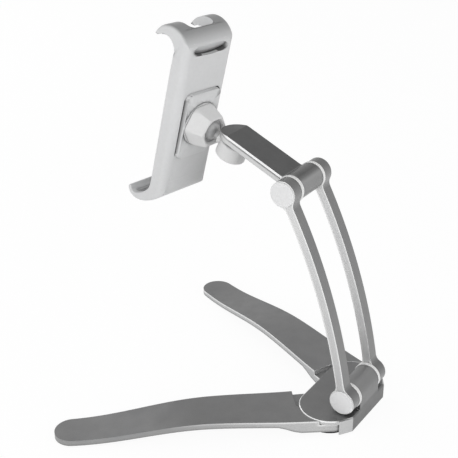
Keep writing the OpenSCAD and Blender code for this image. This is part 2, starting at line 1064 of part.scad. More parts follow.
module curl() {
    // The curl with its long edges rounded like those of the shell
    intersection() {
        across(clip_width)
            curl_side();
        union() {
            translate([0, 0, -big / 2])
                linear_extrude(height = big)
                    shell_section(half_width, shell_back, curl_y, edge_radius);
            translate([-half_width, -big + curl_y + 1, -big / 2])
                cube([clip_width, big, big]);
        }
        translate([0, curl_y, curl_centre])
            across_turned();
    }
}

module across_turned() {
    // A round bar along the width whose ends are rounded off, and the body below it
    turned_x(-half_width)
        rotate_extrude($fn = 128)
            polygon(concat(
                [[0, 0]],
                [for (a = [0:15:90]) [curl_radius - 2.5 * (1 - sin(a)), 2.5 * (1 - cos(a))]],
                [for (a = [90:-15:0]) [curl_radius - 2.5 * (1 - sin(a)), clip_width - 2.5 * (1 - cos(a))]],
                [[0, clip_width]]
            ));
    translate([-half_width, -big / 2, -big])
        cube([clip_width, big, big]);
}

module notch() {
    // The open space between the two hooks
    cut_y = shell_back - 11.5;
    translate([0, 0, hook_tip - 8])
        linear_extrude(height = big)
            hull() {
                for (side = [-1, 1])
                    translate([side * (notch_width / 2 - 5), cut_y - 5])
                        circle(r = 5, $fn = 48);
                translate([-notch_width / 2, cut_y - 50])
                    square([notch_width, 1]);
            }
}

module thumb_scoop() {
    // A hollow with a sharp lower ledge for the fingers that push the jaw open
    scoop_radius = 28;
    ledge_radius = 3;
    depth = 2.6;
    translate([0, shell_back, curl_centre + 0.2 + scoop_radius])
        on_back(0)
            rotate_extrude($fn = 192)
                polygon(concat(
                    [[scoop_radius - 8, 8], [scoop_radius - 8, 0.9 - depth], [scoop_radius - ledge_radius, -depth]],
                    [for (a = [15:15:75]) [scoop_radius - ledge_radius * (1 - sin(a)), -depth * cos(a)]],
                    [[scoop_radius, 0], [scoop_radius, 8]]
                ));
}

module upper_jaw() {
    color([0.86, 0.86, 0.87])
        at_ball()
            difference() {
                union() {
                    translate([0, 0, -parting_depth])
                        linear_extrude(height = parting_depth + curl_centre)
                            difference() {
                                shell_section(half_width, shell_back, shell_front, edge_radius);
                                shell_section(box_half + slide_gap, box_back + slide_gap,
                                    shell_front + shell_wall, edge_radius - shell_wall);
                                translate([-cover_half - slide_gap, shell_front - 1])
                                    square([2 * (cover_half + slide_gap), shell_wall + 2]);
                            }
                    curl();
                    spring_anchors(spring_high, shell_back - shell_wall, hollow_front + 0.4);
                }
                across(clip_width + 2)
                    hook_room();
                notch();
                thumb_scoop();
                jaw_slot();
            }
}

module jaw_slot() {
    // The slot that the mount plate stands in, wide beside the plate and close below it
    translate([0, shell_back + 2, 0])
        rotate([90, 0, 0])
            linear_extrude(height = shell_wall + 3) {
                translate([0, (plate_top - plate_bottom) / 2])
                    rounded_bar(plate_width + 2 * seam_width, plate_top + plate_bottom + 2 * seam_width, 6);
                translate([-plate_width / 2 - fine_seam, -big])
                    square([plate_width + 2 * fine_seam, big]);
            }
}

module spring_anchors(z, back, front) {
    both_sides()
        translate([spring_x, front, z])
            rotate([-90, 0, 0])
                cylinder(r = anchor_radius, h = back - front + 0.2, $fn = 32);
}

module trough_side() {
    // The tablet space above the lower jaw, seen from the side
    slope = atan2(heel_radius - heel_depth + jaw_depth - jaw_radius, jaw_reach + clip_depth - heel_radius);
    fillet = 2;
    hull() {
        translate([jaw_y, jaw_z])
            circle(r = trough_radius, $fn = 96);
        translate([shell_front - fillet, jaw_z + (jaw_reach - fillet) * tan(slope) - trough_radius + fillet + 3])
            circle(r = fillet, $fn = 32);
        translate([jaw_y - trough_radius, jaw_z + 40])
            square([trough_radius + jaw_reach, 1]);
    }
}

module jaw_side() {
    // Lower jaw seen from the side: a rounded heel, a sloping floor and an upturned lip
    lip_y = jaw_y - (jaw_radius - lip_radius) * cos(lip_turn);
    lip_z = jaw_z - (jaw_radius - lip_radius) * sin(lip_turn);
    difference() {
        hull() {
            translate([jaw_y, jaw_z])
                circle(r = jaw_radius, $fn = 128);
            translate([shell_back - heel_radius, -heel_depth])
                circle(r = heel_radius, $fn = 64);
            translate([shell_back - 2, -parting_depth])
                square([2, 1]);
            translate([shell_front, -parting_depth])
                square([2, 1]);
        }
        trough_side();
        translate([lip_y - big, lip_z])
            square([big + jaw_reach, big]);
    }
    translate([lip_y, lip_z])
        circle(r = lip_radius, $fn = 32);
}

module jaw_front() {
    // Front view of the lower jaw with its two lower corners rounded
    hull() {
        for (side = [-1, 1])
            translate([side * (half_width - jaw_corner), jaw_corner - jaw_depth])
                circle(r = jaw_corner, $fn = 64);
        translate([-half_width, 0])
            square([clip_width, 1]);
    }
}

module lower_jaw() {
    difference() {
        intersection() {
            across(clip_width)
                jaw_side();
            translate([0, 0, -big / 2])
                linear_extrude(height = big)
                    shell_section(half_width, shell_back, jaw_y - 2 * jaw_radius, edge_radius);
            translate([0, big / 2, 0])
                rotate([90, 0, 0])
                    linear_extrude(height = big)
                        jaw_front();
        }
        translate([-big / 2, -big, -parting_depth - fine_seam])
            cube([big, 2 * big, big]);
    }
}

module clip_body() {
    slot_half = plate_width / 2;
    color([0.8, 0.8, 0.82])
        at_ball()
            difference() {
                union() {
                    lower_jaw();
                    translate([0, 0, -parting_depth - 4])
                        linear_extrude(height = parting_depth + 4 + box_top)
                            shell_section(box_half, box_back, cover_back, edge_radius - shell_wall - slide_gap);
                    translate([0, -ball_lift, (plate_top - plate_bottom) / 2])
                        rotate([90, 0, 0])
                            linear_extrude(height = plate_proud + shell_wall + slide_gap + 1)
                                rounded_bar(plate_width, plate_top + plate_bottom, 5);
                    translate([-slot_half, box_back - 1, -parting_depth - 2])
                        cube([plate_width, shell_wall + slide_gap + 1, parting_depth - plate_bottom + 8]);
                }
                translate([-hollow_half, hollow_front - 1, -parting_depth + 3])
                    cube([2 * hollow_half, hollow_back - hollow_front + 1, big]);
                on_back(-ball_lift - plate_proud)
                    cylinder(r = socket_base_radius + slide_gap, h = big, $fn = 96);
                on_back(hollow_back - 1)
                    cylinder(r = hub_radius + run_gap, h = 10);
                cover_holes();
            }
    color([0.8, 0.8, 0.82])
        at_ball()
            spring_anchors(spring_low, hollow_back, hollow_front + 0.2);
}

module at_cover_screws() {
    for (side = [-1, 1])
        translate([side * cover_screw_place, shell_front, 1.5 * cover_screw_head - parting_depth])
            rotate([-90, 0, 0])
                children();
}

module cover_holes() {
    // Places of the two small screws that hold the cover
    at_cover_screws()
        translate([0, 0, -1])
            cylinder(r = cover_screw_radius + seat_gap, h = 1 + cover_screw_length, $fn = 24);
}

module clip_cover() {
    color([0.8, 0.8, 0.82])
        at_ball()
            difference() {
                translate([-cover_half, shell_front, -parting_depth])
                    cube([2 * cover_half, shell_wall + slide_gap - seat_gap, parting_depth + box_top]);
                cover_holes();
                at_cover_screws()
                    translate([0, 0, -1])
                        cylinder(r = cover_screw_head + seat_gap, h = 2, $fn = 32);
            }
}

module cover_screws() {
    color([0.25, 0.25, 0.27])
        at_ball()
            at_cover_screws()
                difference() {
                    union() {
                        translate([0, 0, 0.2])
                            cylinder(r = cover_screw_head, h = 0.8 - seat_gap, $fn = 32);
                        translate([0, 0, 0.5])
                            cylinder(r = cover_screw_radius, h = cover_screw_length - 0.6, $fn = 24);
                    }
                    cylinder(r = cover_screw_head / 2, h = 0.7, $fn = 6);
                }
}

module front_pad() {
    color([0.14, 0.14, 0.15])
        at_ball()
            translate([-cover_half + 3, shell_front - grip_thickness, -parting_depth + 6])
                cube([2 * cover_half - 6, grip_thickness - seat_gap, parting_depth + box_top - 10]);
}

module lower_jaw_pad() {
    color([0.75, 0.75, 0.76])
        at_ball()
            across(clip_width - 8)
                intersection() {
                    difference() {
                        offset(delta = -seat_gap)
                            trough_side();
                        offset(delta = -grip_thickness)
                            trough_side();
                    }
                    translate([jaw_y - 3, jaw_z - trough_radius - 1])
                        square([jaw_reach - 1, 12]);
                }
}

module hook_pads() {
    inner = hook_radius - grip_thickness;
    pad_width = half_width - notch_width / 2 - 3;
    color([0.75, 0.75, 0.76])
        at_ball()
            both_sides()
                translate([hook_centre_x, 0, 0])
                    across(pad_width)
                        intersection() {
                            translate([hook_y, hook_z])
                                difference() {
                                    circle(r = hook_radius - seat_gap, $fn = 96);
                                    circle(r = inner, $fn = 96);
                                }
                            translate([hook_y - 5, hook_z])
                                square([10, hook_radius]);
                        }
}

module jaw_springs() {
    eye = anchor_radius + 0.2;
    wire = 0.5;
    low = spring_low + eye + wire;
    high = spring_high - eye - wire;
    color([0.6, 0.6, 0.62])
        at_ball()
            both_sides()
                translate([spring_x, spring_y, 0]) {
                    translate([0, 0, low])
                        difference() {
                            cylinder(r = spring_radius, h = high - low, $fn = 32);
                            translate([0, 0, 1])
                                cylinder(r = spring_radius - 2 * wire, h = high - low - 2, $fn = 32);
                        }
                    for (z = [spring_low, spring_high])
                        translate([0, 0, z])
                            rotate([90, 0, 0])
                                rotate_extrude($fn = 32)
                                    translate([eye + wire, 0])
                                        circle(r = wire, $fn = 16);
                }
}

base_block();
base_pad();
slip_washers();
pivot_washers();
pivot_screws();
lower_hinge_bushes();
right_leg();
right_leg_root_pad();
right_leg_tip_pad();
right_wave_washer();
left_leg();
left_leg_root_pad();
left_leg_tip_pad();
left_wave_washer();
right_arm();
left_arm();
lower_hinge_shaft();
upper_hinge_shaft();
hinge_spring_washers();
hinge_screws();
arm_caps();
upper_link();
upper_hinge_bushes();
swivel_stud();
friction_washer();
swivel_spring_washer();
swivel_nut();
swivel_drum();
drum_cap();
ball_stem();
ball_liner();
ball_socket();
socket_washer();
socket_screw();
lock_nut();
clip_body();
clip_cover();
cover_screws();
front_pad();
lower_jaw_pad();
upper_jaw();
hook_pads();
jaw_springs();
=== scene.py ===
"""Looks of the desktop tablet stand: finishes, springs, moulded pieces, light and camera round the frame."""

import json
import math

import bmesh
import bpy
from mathutils import Matrix, Vector


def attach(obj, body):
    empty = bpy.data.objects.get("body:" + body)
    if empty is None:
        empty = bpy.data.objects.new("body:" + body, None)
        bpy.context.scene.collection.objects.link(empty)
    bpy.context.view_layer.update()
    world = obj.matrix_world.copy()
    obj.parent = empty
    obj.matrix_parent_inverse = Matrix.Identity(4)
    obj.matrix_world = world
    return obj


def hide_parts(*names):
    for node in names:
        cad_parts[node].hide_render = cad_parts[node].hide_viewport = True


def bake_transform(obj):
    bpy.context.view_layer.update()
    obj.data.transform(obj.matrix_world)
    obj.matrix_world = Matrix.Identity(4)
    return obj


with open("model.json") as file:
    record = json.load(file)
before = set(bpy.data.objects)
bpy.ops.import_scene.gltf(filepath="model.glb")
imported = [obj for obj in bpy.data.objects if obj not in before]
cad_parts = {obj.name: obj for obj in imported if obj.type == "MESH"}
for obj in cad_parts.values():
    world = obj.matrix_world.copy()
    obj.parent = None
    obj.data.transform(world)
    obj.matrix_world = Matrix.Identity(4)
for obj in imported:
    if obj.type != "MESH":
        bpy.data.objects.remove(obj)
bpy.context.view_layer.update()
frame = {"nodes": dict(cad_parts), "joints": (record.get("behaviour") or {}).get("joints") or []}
MM = 0.001
RIGHT, REAR, UP = (1, 0, 0), (0, 1, 0), (0, 0, 1)


def joint(name):
    return next(j for j in frame["joints"] if j["name"] == name)


# The clip's own directions, from the middle of the ball
BALL = Vector(joint("clip_spin")["pos_m"])
BACK = Vector(joint("clip_spin")["axis"]).normalized()
RISE = Vector(joint("jaw_slide")["axis"]).normalized()
ACROSS = BACK.cross(RISE)

# The hinges, and the link's own directions: forwards along its plate and out of its upper face
LOWER_HINGE = Vector(joint("lower_hinge")["pos_m"])
UPPER_HINGE = Vector(joint("upper_hinge")["pos_m"])
LINK_RISE = math.radians(24.1)
ALONG_LINK = Vector((0, -math.cos(LINK_RISE), math.sin(LINK_RISE)))
ABOVE_LINK = Vector((0, math.sin(LINK_RISE), math.cos(LINK_RISE)))


class Finish:
    """A material with its Principled shader, and short calls that add nodes to it."""

    def __init__(self, name, metallic=0.0, coat=0.0, specular=0.5):
        self.material = bpy.data.materials.new(name)
        self.material.use_nodes = True
        self.tree = self.material.node_tree
        self.shader = self.tree.nodes["Principled BSDF"]
        self.shader.inputs["Metallic"].default_value = metallic
        self.shader.inputs["Coat Weight"].default_value = coat
        self.shader.inputs["Coat Roughness"].default_value = 0.2
        self.shader.inputs["Specular IOR Level"].default_value = specular
        self.place = self.tree.nodes.new("ShaderNodeTexCoord")

    def link(self, out, socket):
        self.tree.links.new(out, socket)

    def noise(self, scale, detail, stretch=(1, 1, 1)):
        mapping = self.tree.nodes.new("ShaderNodeMapping")
        mapping.inputs["Scale"].default_value = stretch
        self.link(self.place.outputs["Object"], mapping.inputs["Vector"])
        node = self.tree.nodes.new("ShaderNodeTexNoise")
        node.inputs["Scale"].default_value = scale
        node.inputs["Detail"].default_value = detail
        self.link(mapping.outputs["Vector"], node.inputs["Vector"])
        return node.outputs["Fac"]

    def cells(self, scale):
        node = self.tree.nodes.new("ShaderNodeTexVoronoi")
        node.inputs["Scale"].default_value = scale
        self.link(self.place.outputs["Object"], node.inputs["Vector"])
        return node.outputs["Distance"]

    def ramp(self, value, stops):
        """A colour ramp; stops are (place, colour), a colour being a grey number or (r, g, b)."""
        node = self.tree.nodes.new("ShaderNodeValToRGB")
        marks = node.color_ramp.elements
        while len(marks) < len(stops):
            marks.new(0.5)
        for mark, (place, colour) in zip(marks, stops):
            mark.position = place
            mark.color = (*((colour,) * 3 if isinstance(colour, (int, float)) else colour), 1)
        self.link(value, node.inputs["Fac"])
        return node.outputs["Color"]

    def maths(self, operation, *values, clamp=False):
        node = self.tree.nodes.new("ShaderNodeMath")
        node.operation = operation
        node.use_clamp = clamp
        for socket, value in zip(node.inputs, values):
            if isinstance(value, (int, float)):
                socket.default_value = value
            else:
                self.link(value, socket)
        return node.outputs["Value"]

    def mix(self, factor, a, b, blend="MIX"):
        node = self.tree.nodes.new("ShaderNodeMix")
        node.data_type = "RGBA"
        node.blend_type = blend
        for name, value in (("Factor", factor), ("A", a), ("B", b)):
            socket = next(s for s in node.inputs if s.name == name and s.enabled)
            if isinstance(value, (int, float)):
                socket.default_value = value if name == "Factor" else (value, value, value, 1)
            elif isinstance(value, tuple):
                socket.default_value = (*value, 1)
            else:
                self.link(value, socket)
        return next(s for s in node.outputs if s.enabled)

    def times(self, colour, share):
        """A colour times a grey number or another colour."""
        return self.mix(1.0, colour, share, "MULTIPLY")

    def dot(self, vector, axis):
        node = self.tree.nodes.new("ShaderNodeVectorMath")
        node.operation = "DOT_PRODUCT"
        self.link(vector, node.inputs[0])
        node.inputs[1].default_value = axis
        return node.outputs["Value"]

    def normal(self, axis, both=False):
        """How squarely the surface faces along one of the object's own axes."""
        value = self.dot(self.place.outputs["Normal"], axis)
        return self.maths("ABSOLUTE", value) if both else value

    def position(self, axis, start=None):
        """How far a place lies along an axis, from the frame's origin or from a point."""
        value = self.dot(self.place.outputs["Object"], axis)
        return value if start is None else self.maths("SUBTRACT", value, start.dot(axis))

    def step(self, value, low, high):
        """0 below low, 1 above high, straight between."""
        node = self.tree.nodes.new("ShaderNodeMapRange")
        node.inputs["From Min"].default_value = low
        node.inputs["From Max"].default_value = high
        self.link(value, node.inputs["Value"])
        return node.outputs["Result"]

    def less(self, value):
        return self.maths("SUBTRACT", 1.0, value, clamp=True)

    def below(self, value, low, high):
        """1 below low, 0 above high, straight between."""
        return self.less(self.step(value, low, high))

    def both(self, *masks):
        total = masks[0]
        for mask in masks[1:]:
            total = self.maths("MULTIPLY", total, mask)
        return total

    def corners(self, reach, low=0.62, high=0.86):
        """1 on outer edges, where a short ray inside the solid meets another face."""
        node = self.tree.nodes.new("ShaderNodeAmbientOcclusion")
        node.inside = True
        node.only_local = True
        node.samples = 8
        node.inputs["Distance"].default_value = reach
        return self.below(node.outputs["AO"], low, high)

    def crevices(self, reach, low=0.35, high=0.9):
        """0 deep in grooves and inside corners, 1 on open faces."""
        node = self.tree.nodes.new("ShaderNodeAmbientOcclusion")
        node.samples = 8
        node.inputs["Distance"].default_value = reach
        return self.step(node.outputs["AO"], low, high)

    def rounded(self, radius):
        """The surface's normal, turned smoothly over sharp edges."""
        bevel = self.tree.nodes.new("ShaderNodeBevel")
        bevel.samples = 6
        bevel.inputs["Radius"].default_value = radius
        return bevel.outputs["Normal"]

    def turned_edge(self, radius, axis, low, high):
        """1 beside an edge whose other face looks along the axis."""
        return self.step(self.dot(self.rounded(radius), axis), low, high)

    def soft_edges(self, radius, height, depth, strength):
        """Rounds the shading of sharp edges, with a fine relief on top."""
        bump = self.tree.nodes.new("ShaderNodeBump")
        bump.inputs["Distance"].default_value = depth
        bump.inputs["Strength"].default_value = strength
        self.link(height, bump.inputs["Height"])
        self.link(self.rounded(radius), bump.inputs["Normal"])
        self.link(bump.outputs["Normal"], self.shader.inputs["Normal"])

    def colour(self, out):
        self.link(out, self.shader.inputs["Base Color"])

    def rough(self, out):
        self.link(out, self.shader.inputs["Roughness"])


def scaled(tint, share):
    return tuple(min(1, c * share) for c in tint)


def blasted(name, painted_light, crevice_shade=0.72):
    """Blasted, anodised metal; the given function paints each face's grey with light and shade, and says
    where a painted highlight lies on its edges.
    """
    f = Finish(name, metallic=0.7)
    grey, cut = painted_light(f)
    fine = f.noise(3000, 2)
    cloud = f.noise(34, 4)
    grained = f.times(grey, f.ramp(fine, [(0.3, 0.91), (0.7, 1.09)]))
    tint = f.ramp(cloud, [(0.3, (0.95, 0.955, 0.965)), (0.7, (1.03, 1.03, 1.025))])
    clouded = f.times(grained, tint)
    # Painted shade: crevices and inside corners are darkened by this share
    face = f.mix(f.crevices(4 * MM, 0.3, 0.85), f.times(clouded, crevice_shade), clouded)
    rough = f.ramp(f.noise(90, 5), [(0.3, 0.36), (0.75, 0.5)])
    # Painted highlight: the edges the mask picks out are painted near white, and they also get a lower
    # roughness
    if cut is not None:
        highlight_grey, edge_rough = 0.93, 0.2
        face, rough = f.mix(cut, face, highlight_grey), f.mix(cut, rough, edge_rough)
    f.colour(face)
    f.rough(rough)
    f.soft_edges(0.5 * MM, fine, 0.04 * MM, 0.35)
    return f.material


def leg_painted_light(f):
    """Painted light and shade on the legs: a shaded dark top, pale lit flanks that are greyer far out on the
    right leg and along the foot, and a painted highlight on the upper edges and on faces that look to the
    rear.
    """
    # Painted light and shade: a shaded top, a lit near flank, a shaded far flank and a shaded foot edge
    shaded_top, near, shaded_far, foot = 0.185, 0.52, 0.33, 0.27
    edge = 3 * MM
    flank = f.below(f.normal(UP, True), 0.35, 0.8)
    forwards = f.position((0, -1, 0))
    out = f.both(f.step(forwards, 30 * MM, 100 * MM), f.step(f.position(RIGHT), 0.0, MM))
    foot_edge_shade = f.both(flank, f.turned_edge(edge, (0, 0, -1), 0.08, 0.4))
    # Painted highlights along the flanks' upper edges and on faces that look to the rear
    top_edge_highlight = f.both(flank, f.turned_edge(edge, UP, 0.08, 0.4), f.less(out))
    root_wall_highlight = f.step(f.normal(REAR), 0.85, 0.92)
    side = f.mix(foot_edge_shade, f.mix(out, near, shaded_far), foot)
    return f.mix(flank, shaded_top, side), f.maths("MAXIMUM", top_edge_highlight, root_wall_highlight)


def base_painted_light(f):
    """Painted light on the base: a shaded dark plate, a barrel with painted shade and reflection round it,
    pale lit flanks below the plate's top, and a painted highlight on the chamfer but for the rear.
    """
    # Painted shade on the plate, painted light on the pale flanks
    plate, pale = 0.165, 0.56
    plate_low, plate_high, barrel_foot = 13.4 * MM, 13.6 * MM, 16 * MM
    level = f.position(UP)
    rise = f.normal(UP, True)
    upright = f.below(rise, 0.3, 0.5)
    not_rear = f.below(f.normal(REAR), 0.9, 0.97)
    low = f.below(level, plate_low, plate_high)
    ahead = f.below(f.normal(REAR), 0.45, 0.55)
    # Painted highlight on the chamfer, but not where it faces the rear
    chamfer_highlight = f.both(f.step(rise, 0.5, 0.6), f.below(rise, 0.8, 0.9), low, ahead)
    around = f.step(f.normal((0, 0.8, 0.6)), -1, 1)
    # Painted shade and reflection that turn with the barrel's surface
    barrel_reflection = f.ramp(around, [(0.3, 0.15), (0.75, 0.2), (0.95, 0.24), (1.0, 0.22)])
    dark = f.mix(f.step(level, plate_high, barrel_foot), plate, barrel_reflection)
    return f.mix(f.both(upright, not_rear, low), dark, pale), chamfer_highlight


def link_painted_light(f):
    """Painted light on the link: a plate shaded dark where it faces up, its edge in painted pale and grey
    bands of highlight and shade, and a barrel with the room's reflection painted on as bands.
    """
    shaded_plate_grey = 0.088
    edge_half = 3.1 * MM
    plate = f.step(f.position(ALONG_LINK, UPPER_HINGE), 10.2 * MM, 10.8 * MM)
    upright = f.below(f.normal(ABOVE_LINK, True), 0.35, 0.7)
    side = f.step(f.normal(RIGHT, True), 0.6, 0.9)
    flank = f.maths("MAXIMUM", f.both(upright, plate), side)
    level = f.step(f.position(ABOVE_LINK, UPPER_HINGE), -edge_half, edge_half)
    # Painted highlight and shade in bands across the plate's edge
    highlight_bands = f.ramp(level, [(0.0, 0.6), (0.44, 0.64), (0.5, 0.42), (0.66, 0.47), (0.74, 0.9)])
    # Painted reflection of the room round the barrel, in bands
    around = f.step(f.normal(REAR), -1, 1)
    barrel_reflection = f.ramp(around, [(0.0, 0.15), (0.55, 0.11), (0.68, 0.09), (0.8, 0.16), (0.9, 0.31), (1.0, 0.27)])
    return f.mix(flank, f.mix(plate, barrel_reflection, shaded_plate_grey), highlight_bands), None


def arm_painted_light(f):
    """Painted light on the arms: pale lit sides, a little lighter towards the top, with painted highlights on
    their edges, and painted shade on the darker front and back.
    """
    # Painted light: the side greys grow lighter towards the top
    low_grey, high_grey = 0.6, 0.68
    side = f.step(f.normal(RIGHT, True), 0.55, 0.9)
    height = f.step(f.position(UP), 30 * MM, 170 * MM)
    around = f.step(f.normal((0, 0.3, 0.95)), -1, 1)
    # Painted shade on the front and back
    rear = f.ramp(around, [(0.2, 0.27), (0.55, 0.33), (0.8, 0.24), (1.0, 0.15)])
    # Painted highlight along the side faces' edges
    edges = f.both(side, f.corners(1.5 * MM, 0.65, 0.97))
    return f.mix(side, rear, f.mix(height, low_grey, high_grey)), edges


def turned(name, grey, rough=0.25, metallic=1.0):
    """Turned steel: fine tool rings, faint stains and brighter corners."""
    f = Finish(name, metallic)
    lines = f.noise(2600, 2, (1.0, 0.06, 0.06))
    base = f.ramp(lines, [(0.3, grey * 0.86), (0.7, grey * 1.1)])
    stain = f.ramp(f.noise(140, 4), [(0.35, (0.93, 0.935, 0.95)), (0.7, (1.02, 1.02, 1.0))])
    f.colour(f.mix(f.corners(0.35 * MM), f.times(base, stain), min(1.0, grey * 1.7)))
    f.rough(f.ramp(lines, [(0.3, rough * 0.8), (0.7, rough * 1.35)]))
    f.soft_edges(0.15 * MM, lines, 0.03 * MM, 0.3)
    return f.material


def moulded(name, tint, rough=0.4, coat=0.0, round_edge=0.5 * MM, crevice_shade=0.4, shade=None):
    """Moulded plastic: eroded grain, faint flow clouding, lighter outer corners and painted shade in
    crevices.
    """
    f = Finish(name, coat=coat)
    flow = f.ramp(f.noise(22, 4, (1, 1, 0.6)), [(0.3, scaled(tint, 0.98)), (0.7, scaled(tint, 1.02))])
    dust = f.ramp(f.noise(420, 5), [(0.25, 0.97), (0.6, 1.0)])
    face = f.mix(f.corners(0.7 * MM), f.times(flow, dust), scaled(tint, 1.06))
    if shade:
        face = shade(f, face)
    # Painted shade: crevices and inside corners are darkened by this share
    f.colour(f.mix(f.crevices(3 * MM), f.times(face, crevice_shade), face))
    f.rough(f.ramp(f.noise(65, 3), [(0.3, rough * 0.88), (0.7, rough * 1.14)]))
    f.soft_edges(round_edge, f.cells(1500), 0.03 * MM, 0.25)
    return f.material


def clip_shade(f, face):
    """The lower back falls away into shade towards the far side, and faces that look that way are darker."""
    beside = f.below(f.position(ACROSS, BALL), -24 * MM, 16 * MM)
    low = f.below(f.position(RISE, BALL), -42 * MM, -8 * MM)
    rear = f.step(f.normal(BACK), 0.2, 0.6)
    lit = f.mix(f.both(beside, low, rear), face, f.times(face, 0.6))
    turned_away = f.below(f.normal(ACROSS), -0.9, -0.2)
    return f.mix(turned_away, lit, f.times(face, 0.55))


def crest_shade(f, face):
    """The crest darkens as it turns upwards, and the thumb hollow in it is darker still."""
    level = f.position(RISE, BALL)
    upwards = f.ramp(f.normal(RISE), [(0.0, 1.0), (0.35, 0.95), (0.65, 0.7), (0.85, 0.48), (1.0, 0.36)])
    face = f.mix(f.step(level, 48 * MM, 52 * MM), face, f.times(face, upwards))
    above = f.step(level, 55.4 * MM, 55.6 * MM)
    behind = f.step(f.position(BACK, BALL), -20 * MM, -19 * MM)
    hollow = f.both(f.less(f.crevices(11 * MM, 0.5, 0.97)), above, behind)
    lower_wall = f.both(f.step(f.normal(RISE), 0.8, 0.9), above, f.below(level, 62 * MM, 63 * MM))
    face = f.mix(lower_wall, face, f.times(face, 0.4))
    return clip_shade(f, f.mix(hollow, face, f.times(face, 0.8)))


def wall_shade(f, face):
    """The walls of the raised block, at the bottom of the gap round it."""
    wall = f.maths("MAXIMUM", f.step(f.normal(ACROSS, True), 0.8, 0.95), f.step(f.normal(RISE), 0.8, 0.95))
    return clip_shade(f, f.mix(wall, face, f.times(face, 0.55)))


def rubber(name, tint):
    """Soft moulded rubber: matt, a little dusty, with a fine pebble."""
    f = Finish(name, specular=0.3)
    dusty = tuple(c * 1.35 + 0.006 for c in tint)
    f.colour(f.ramp(f.noise(160, 6), [(0.35, tint), (0.75, dusty)]))
    f.rough(f.ramp(f.noise(300, 3), [(0.3, 0.702), (0.7, 0.858)]))
    f.soft_edges(0.3 * MM, f.cells(1100), 0.06 * MM, 0.4)
    return f.material


CLIP_TINT = (0.76, 0.765, 0.77)
# The metals and the clip plastics hold painted light, shade and highlights; clip_jaw and clip_block are the
# clip's plastic with their own painted shade, and most finishes darken their crevices with painted shade
FINISHES = {
    "leg": blasted("leg_metal", leg_painted_light),
    "base": blasted("base_metal", base_painted_light, crevice_shade=1.0),
    "link": blasted("link_metal", link_painted_light),
    "arm": blasted("arm_metal", arm_painted_light),
    "steel": turned("steel", 0.55),
    "ball": turned("ball_steel", 0.45, 0.45, 0.4),
    "dark_steel": turned("dark_steel", 0.13, 0.4),
    "cap": moulded("white_plastic", (0.9, 0.9, 0.905), 0.32, coat=0.15, crevice_shade=0.8),
    "clip": moulded("clip_plastic", CLIP_TINT, 0.36, shade=clip_shade),
    "clip_jaw": moulded("clip_jaw_plastic", CLIP_TINT, 0.36, shade=crest_shade),
    "clip_block": moulded("clip_block_plastic", CLIP_TINT, 0.36, shade=wall_shade),
    "pale_plastic": moulded("pale_plastic", (0.8, 0.8, 0.8), 0.34, coat=0.1, crevice_shade=0.7),
    "liner": moulded("liner_plastic", (0.6, 0.6, 0.61), 0.5),
    "bush": moulded("bush_plastic", (0.96, 0.96, 0.95), 0.45, round_edge=0.2 * MM, crevice_shade=1.0),
    "dark_plastic": moulded("dark_plastic", (0.1, 0.1, 0.105), 0.5),
    "black": rubber("rubber_black", (0.028, 0.028, 0.03)),
    "grey": rubber("rubber_grey", (0.56, 0.56, 0.57)),
}
WORN_BY = {
    "leg": "right_leg left_leg",
    "base": "base_block",
    "link": "upper_link",
    "arm": "right_arm left_arm",
    "steel": "lower_hinge_shaft upper_hinge_shaft hinge_spring_washers right_wave_washer left_wave_washer "
    "swivel_spring_washer swivel_stud swivel_nut pivot_washers socket_washer jaw_springs",
    "ball": "ball_stem",
    "dark_steel": "pivot_screws hinge_screws socket_screw cover_screws",
    "cap": "arm_caps",
    "pale_plastic": "swivel_drum drum_cap lock_nut",
    "liner": "ball_liner",
    "clip": "clip_body clip_cover upper_jaw ball_socket",
    "bush": "slip_washers lower_hinge_bushes upper_hinge_bushes",
    "dark_plastic": "friction_washer",
    "black": "base_pad right_leg_root_pad right_leg_tip_pad left_leg_root_pad left_leg_tip_pad front_pad",
    "grey": "lower_jaw_pad hook_pads",
}


def dress(mesh, finish):
    mesh.materials.clear()
    mesh.materials.append(FINISHES[finish])


for finish, names in WORN_BY.items():
    for name in names.split():
        dress(frame["nodes"][name].data, finish)


# What the new pieces share
def on_clip(x, y, z):
    """A point in the clip's own millimetres: across it, out of its back, up along it."""
    return BALL + MM * (x * ACROSS + y * BACK + z * RISE)


def add_object(name, data):
    made = bpy.data.objects.new(name, data)
    bpy.context.scene.collection.objects.link(made)
    return made


def ring_faces(size, count, closed=False):
    """Faces between rings of points, with a cap at each end unless the last ring joins the first."""
    faces = [] if closed else [tuple(range(size)), tuple(range(size * (count - 1), size * count))]
    for k in range(count if closed else count - 1):
        here, there = k * size, (k + 1) % count * size
        faces += [(here + i, here + (i + 1) % size, there + (i + 1) % size, there + i) for i in range(size)]
    return faces


def tidy(mesh, cut=None):
    """Joins doubled points, cuts off what lies above a plane (point, normal) and turns the faces outwards."""
    work = bmesh.new()
    work.from_mesh(mesh)
    bmesh.ops.remove_doubles(work, verts=work.verts, dist=1e-6)
    if cut:
        point, normal = cut
        parts = list(work.verts) + list(work.edges) + list(work.faces)
        found = bmesh.ops.bisect_plane(
            work, geom=parts, dist=1e-7, plane_co=point, plane_no=normal, clear_outer=True
        )
        edges = [e for e in found["geom_cut"] if isinstance(e, bmesh.types.BMEdge)]
        bmesh.ops.triangle_fill(work, edges=edges, use_beauty=True, normal=normal)
    bmesh.ops.recalc_face_normals(work, faces=work.faces)
    work.to_mesh(mesh)
    work.free()
    mesh.shade_smooth()
    mesh.set_sharp_from_angle(angle=math.radians(32))


def new_object(name, verts, faces):
    mesh = bpy.data.meshes.new(name)
    mesh.from_pydata(verts, [], faces)
    tidy(mesh)
    return add_object(name, mesh)


def copy_of(node, name):
    made = add_object(name, frame["nodes"][node].data.copy())
    tidy(made.data)
    return made


